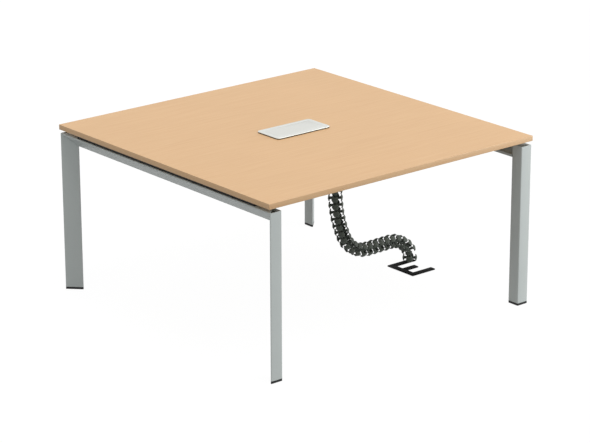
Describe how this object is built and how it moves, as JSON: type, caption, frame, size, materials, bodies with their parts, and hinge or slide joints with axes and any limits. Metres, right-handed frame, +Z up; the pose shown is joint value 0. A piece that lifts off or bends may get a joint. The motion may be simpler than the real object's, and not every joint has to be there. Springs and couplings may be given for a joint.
{
  "type": "square meeting table",
  "caption": "Square meeting table on side frames of three-sided tube, with a lidded power box in the top and a jointed cable spine down to a floor plate.",
  "frame": {"origin": "on the floor, under the middle of the square top", "axes": "+Z up; X along the front edge, with the spine on the +X side; +Y away from the front edge"},
  "size_m": [1.4, 1.4, 0.7422],
  "materials": {
    "melamine_board": "matt light wood decor",
    "edge_band": "matt wood-coloured edging",
    "silver_coat": "satin silver-grey powder coat",
    "beam_coat": "satin grey powder coat",
    "zinc_steel": "zinc plated",
    "black_plastic": "moulded, fine texture",
    "bezel_aluminium": "pale satin anodised",
    "lid_aluminium": "pale satin anodised",
    "black_coat": "black powder coat",
    "strip_plastic": "moulded",
    "spine_plastic": "moulded, satin"
  },
  "bodies": {
    "table": {"beam_bolts": "zinc_steel", "beam_end_plates": "beam_coat", "box_bezel": "bezel_aluminium", "box_well": "black_coat", "clamp_bars": "zinc_steel", "edge_bands": "edge_band", "front_beam": "beam_coat", "left_front_leg": "silver_coat", "left_rail": "silver_coat", "left_rear_leg": "silver_coat", "leg_plugs": "black_plastic", "lid_hinge_rod": "zinc_steel", "outlet_strip": "strip_plastic", "rear_beam": "beam_coat", "right_front_leg": "silver_coat", "right_rail": "silver_coat", "right_rear_leg": "silver_coat", "spine_hanger": "spine_plastic", "table_top": "melamine_board", "top_screws": "zinc_steel", "top_spacers": "black_plastic"},
    "lid": {"box_lid": "lid_aluminium"},
    "spine_foot": {"spine_base_clip": "spine_plastic", "spine_base_plate": "black_coat"},
    "left_front_foot": {"left_front_foot": "black_plastic"},
    "left_front_stud": {"left_front_stud": "zinc_steel"},
    "left_rear_foot": {"left_rear_foot": "black_plastic"},
    "left_rear_stud": {"left_rear_stud": "zinc_steel"},
    "right_front_foot": {"right_front_foot": "black_plastic"},
    "right_front_stud": {"right_front_stud": "zinc_steel"},
    "right_rear_foot": {"right_rear_foot": "black_plastic"},
    "right_rear_stud": {"right_rear_stud": "zinc_steel"},
    "spine_link_01": {"spine_link_01": "spine_plastic"},
    "spine_link_02": {"spine_link_02": "spine_plastic"},
    "spine_link_03": {"spine_link_03": "spine_plastic"},
    "spine_link_04": {"spine_link_04": "spine_plastic"},
    "spine_link_05": {"spine_link_05": "spine_plastic"},
    "spine_link_06": {"spine_link_06": "spine_plastic"},
    "spine_link_07": {"spine_link_07": "spine_plastic"},
    "spine_link_08": {"spine_link_08": "spine_plastic"},
    "spine_link_09": {"spine_link_09": "spine_plastic"},
    "spine_link_10": {"spine_link_10": "spine_plastic"},
    "spine_link_11": {"spine_link_11": "spine_plastic"},
    "spine_link_12": {"spine_link_12": "spine_plastic"},
    "spine_link_13": {"spine_link_13": "spine_plastic"},
    "spine_link_14": {"spine_link_14": "spine_plastic"},
    "spine_link_15": {"spine_link_15": "spine_plastic"},
    "spine_link_16": {"spine_link_16": "spine_plastic"},
    "spine_link_17": {"spine_link_17": "spine_plastic"},
    "spine_link_18": {"spine_link_18": "spine_plastic"},
    "spine_link_19": {"spine_link_19": "spine_plastic"},
    "spine_link_20": {"spine_link_20": "spine_plastic"},
    "spine_link_21": {"spine_link_21": "spine_plastic"},
    "spine_link_22": {"spine_link_22": "spine_plastic"},
    "spine_link_23": {"spine_link_23": "spine_plastic"},
    "spine_link_24": {"spine_link_24": "spine_plastic"},
    "spine_link_25": {"spine_link_25": "spine_plastic"},
    "spine_link_26": {"spine_link_26": "spine_plastic"},
    "spine_link_27": {"spine_link_27": "spine_plastic"},
    "spine_link_28": {"spine_link_28": "spine_plastic"}
  },
  "joints": [
    {"name": "lid_hinge", "type": "hinge", "parent": "table", "child": "lid", "pos_m": [0, 0.048, 0.7398], "axis": [-1, 0, 0], "range_deg": [0, 105]},
    {"name": "left_front_foot_slide", "type": "slide", "parent": "table", "child": "left_front_foot", "axis": [0, 0, -1], "range_m": [0, 0.012]},
    {"name": "left_front_stud_turn", "type": "hinge", "parent": "left_front_foot", "child": "left_front_stud", "pos_m": [-0.65657, -0.68143, 0.01], "axis": [0, 0, -1], "range_deg": [0, 3456]},
    {"name": "left_rear_foot_slide", "type": "slide", "parent": "table", "child": "left_rear_foot", "axis": [0, 0, -1], "range_m": [0, 0.012]},
    {"name": "left_rear_stud_turn", "type": "hinge", "parent": "left_rear_foot", "child": "left_rear_stud", "pos_m": [-0.65657, 0.68143, 0.01], "axis": [0, 0, -1], "range_deg": [0, 3456]},
    {"name": "right_front_foot_slide", "type": "slide", "parent": "table", "child": "right_front_foot", "axis": [0, 0, -1], "range_m": [0, 0.012]},
    {"name": "right_front_stud_turn", "type": "hinge", "parent": "right_front_foot", "child": "right_front_stud", "pos_m": [0.65657, -0.68143, 0.01], "axis": [0, 0, -1], "range_deg": [0, 3456]},
    {"name": "right_rear_foot_slide", "type": "slide", "parent": "table", "child": "right_rear_foot", "axis": [0, 0, -1], "range_m": [0, 0.012]},
    {"name": "right_rear_stud_turn", "type": "hinge", "parent": "right_rear_foot", "child": "right_rear_stud", "pos_m": [0.65657, 0.68143, 0.01], "axis": [0, 0, -1], "range_deg": [0, 3456]},
    {"name": "spine_top_joint", "type": "hinge", "parent": "table", "child": "spine_link_01", "pos_m": [0.232, 0.006, 0.669], "axis": [0, -1, 0], "range_deg": [-3, 3]},
    {"name": "spine_joint_01", "type": "hinge", "parent": "spine_link_01", "child": "spine_link_02", "pos_m": [0.232, 0.006, 0.63598], "axis": [0, -1, 0], "range_deg": [-3, 3]},
    {"name": "spine_joint_02", "type": "hinge", "parent": "spine_link_02", "child": "spine_link_03", "pos_m": [0.232, 0.006, 0.60296], "axis": [0, -1, 0], "range_deg": [-3, 3]},
    {"name": "spine_joint_03", "type": "hinge", "parent": "spine_link_03", "child": "spine_link_04", "pos_m": [0.232, 0.006, 0.56994], "axis": [0, -1, 0], "range_deg": [-3, 3]},
    {"name": "spine_joint_04", "type": "hinge", "parent": "spine_link_04", "child": "spine_link_05", "pos_m": [0.232, 0.006, 0.53691], "axis": [0, -1, 0], "range_deg": [-3, 3]},
    {"name": "spine_joint_05", "type": "hinge", "parent": "spine_link_05", "child": "spine_link_06", "pos_m": [0.232, 0.006, 0.50389], "axis": [0, -1, 0], "range_deg": [-3, 3]},
    {"name": "spine_joint_06", "type": "hinge", "parent": "spine_link_06", "child": "spine_link_07", "pos_m": [0.232, 0.006, 0.47087], "axis": [0, -1, 0], "range_deg": [-3, 3]},
    {"name": "spine_joint_07", "type": "hinge", "parent": "spine_link_07", "child": "spine_link_08", "pos_m": [0.232, 0.006, 0.43785], "axis": [0, -1, 0], "range_deg": [-3, 3]},
    {"name": "spine_joint_08", "type": "hinge", "parent": "spine_link_08", "child": "spine_link_09", "pos_m": [0.232, 0.006, 0.40483], "axis": [0, -1, 0], "range_deg": [-3, 3]},
    {"name": "spine_joint_09", "type": "hinge", "parent": "spine_link_09", "child": "spine_link_10", "pos_m": [0.2341, 0.006, 0.37187], "axis": [0, -1, 0], "range_deg": [-3, 3]},
    {"name": "spine_joint_10", "type": "hinge", "parent": "spine_link_10", "child": "spine_link_11", "pos_m": [0.2383, 0.006, 0.33912], "axis": [0, -1, 0], "range_deg": [-3, 3]},
    {"name": "spine_joint_11", "type": "hinge", "parent": "spine_link_11", "child": "spine_link_12", "pos_m": [0.24457, 0.006, 0.3067], "axis": [0, -1, 0], "range_deg": [-3, 3]},
    {"name": "spine_joint_12", "type": "hinge", "parent": "spine_link_12", "child": "spine_link_13", "pos_m": [0.25289, 0.006, 0.27474], "axis": [0, -1, 0], "range_deg": [-3, 3]},
    {"name": "spine_joint_13", "type": "hinge", "parent": "spine_link_13", "child": "spine_link_14", "pos_m": [0.26324, 0.006, 0.24338], "axis": [0, -1, 0], "range_deg": [-3, 3]},
    {"name": "spine_joint_14", "type": "hinge", "parent": "spine_link_14", "child": "spine_link_15", "pos_m": [0.27555, 0.006, 0.21275], "axis": [0, -1, 0], "range_deg": [-3, 3]},
    {"name": "spine_joint_15", "type": "hinge", "parent": "spine_link_15", "child": "spine_link_16", "pos_m": [0.28979, 0.006, 0.18295], "axis": [0, -1, 0], "range_deg": [-3, 3]},
    {"name": "spine_joint_16", "type": "hinge", "parent": "spine_link_16", "child": "spine_link_17", "pos_m": [0.31041, 0.006, 0.15716], "axis": [0, -1, 0], "range_deg": [-3, 3]},
    {"name": "spine_joint_17", "type": "hinge", "parent": "spine_link_17", "child": "spine_link_18", "pos_m": [0.33634, 0.006, 0.13671], "axis": [0, -1, 0], "range_deg": [-3, 3]},
    {"name": "spine_joint_18", "type": "hinge", "parent": "spine_link_18", "child": "spine_link_19", "pos_m": [0.36622, 0.006, 0.12266], "axis": [0, -1, 0], "range_deg": [-3, 3]},
    {"name": "spine_joint_19", "type": "hinge", "parent": "spine_link_19", "child": "spine_link_20", "pos_m": [0.39851, 0.006, 0.11574], "axis": [0, -1, 0], "range_deg": [-3, 3]},
    {"name": "spine_joint_20", "type": "hinge", "parent": "spine_link_20", "child": "spine_link_21", "pos_m": [0.43153, 0.006, 0.11632], "axis": [0, -1, 0], "range_deg": [-3, 3]},
    {"name": "spine_joint_21", "type": "hinge", "parent": "spine_link_21", "child": "spine_link_22", "pos_m": [0.46454, 0.006, 0.1169], "axis": [0, -1, 0], "range_deg": [-3, 3]},
    {"name": "spine_joint_22", "type": "hinge", "parent": "spine_link_22", "child": "spine_link_23", "pos_m": [0.49756, 0.006, 0.11747], "axis": [0, -1, 0], "range_deg": [-3, 3]},
    {"name": "spine_joint_23", "type": "hinge", "parent": "spine_link_23", "child": "spine_link_24", "pos_m": [0.53058, 0.006, 0.11805], "axis": [0, -1, 0], "range_deg": [-3, 3]},
    {"name": "spine_joint_24", "type": "hinge", "parent": "spine_link_24", "child": "spine_link_25", "pos_m": [0.56359, 0.006, 0.11862], "axis": [0, -1, 0], "range_deg": [-1.2, 3]},
    {"name": "spine_joint_25", "type": "hinge", "parent": "spine_link_25", "child": "spine_link_26", "pos_m": [0.59569, 0.006, 0.11086], "axis": [0, -1, 0], "range_deg": [-1.2, 3]},
    {"name": "spine_joint_26", "type": "hinge", "parent": "spine_link_26", "child": "spine_link_27", "pos_m": [0.62479, 0.006, 0.09526], "axis": [0, -1, 0], "range_deg": [-1.2, 3]},
    {"name": "spine_joint_27", "type": "hinge", "parent": "spine_link_27", "child": "spine_link_28", "pos_m": [0.64902, 0.006, 0.07282], "axis": [0, -1, 0], "range_deg": [-1.2, 3]},
    {"name": "spine_foot_joint", "type": "hinge", "parent": "spine_link_28", "child": "spine_foot", "pos_m": [0.66681, 0.006, 0.045], "axis": [0, -1, 0], "range_deg": [-3, 3]}
  ],
  "couplings": [
    {"joint": "left_front_foot_slide", "follows": "left_front_stud_turn", "m_per_rad": 0.00019894},
    {"joint": "left_rear_foot_slide", "follows": "left_rear_stud_turn", "m_per_rad": 0.00019894},
    {"joint": "right_front_foot_slide", "follows": "right_front_stud_turn", "m_per_rad": 0.00019894},
    {"joint": "right_rear_foot_slide", "follows": "right_rear_stud_turn", "m_per_rad": 0.00019894}
  ]
}
